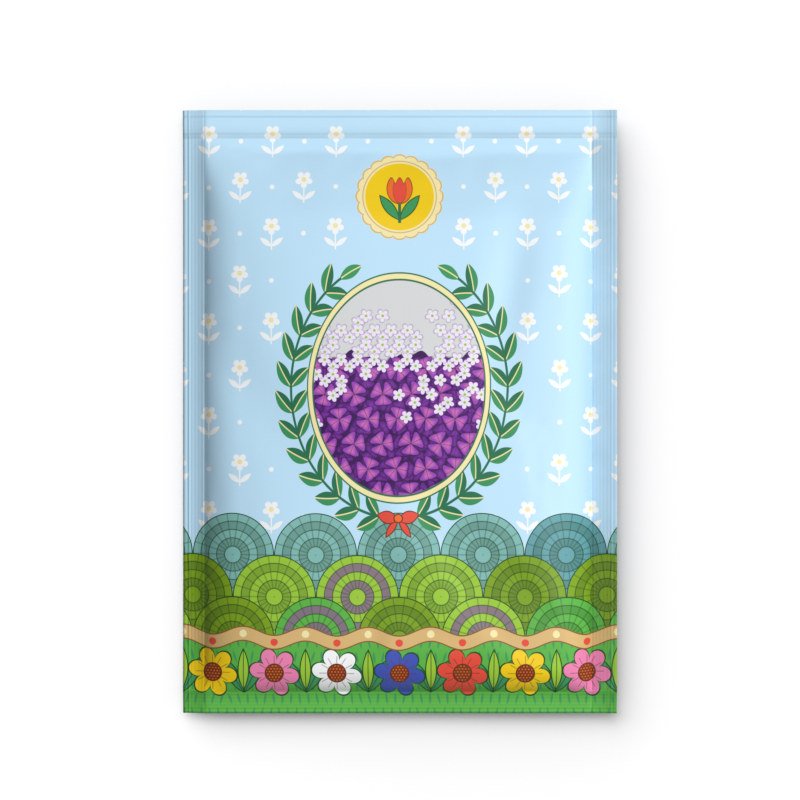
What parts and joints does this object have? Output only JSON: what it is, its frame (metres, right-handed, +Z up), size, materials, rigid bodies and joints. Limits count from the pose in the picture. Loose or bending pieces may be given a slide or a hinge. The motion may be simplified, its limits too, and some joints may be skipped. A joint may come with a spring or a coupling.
{
  "type": "sealed flower bulb packet",
  "caption": "Flat printed film packet sealed along all four edges, softly crowned over loose scaly flower bulbs, lying on its back.",
  "frame": {"origin": "on the surface that the packet lies on, below the middle of its outline", "axes": "+Z up through the printed face, +Y along the length towards the head seal, +X across the width to the right of the printed face"},
  "size_m": [0.13, 0.1806, 0.0192],
  "materials": {
    "front_print": "satin printed film laminate",
    "back_print": "satin printed film laminate",
    "bulb_scales": "dry papery bulb scales"
  },
  "bodies": {
    "root": {"front_film": "front_print", "back_film": "back_print", "bulb_1": "bulb_scales", "bulb_2": "bulb_scales", "bulb_3": "bulb_scales", "bulb_4": "bulb_scales", "bulb_5": "bulb_scales"}
  },
  "joints": []
}
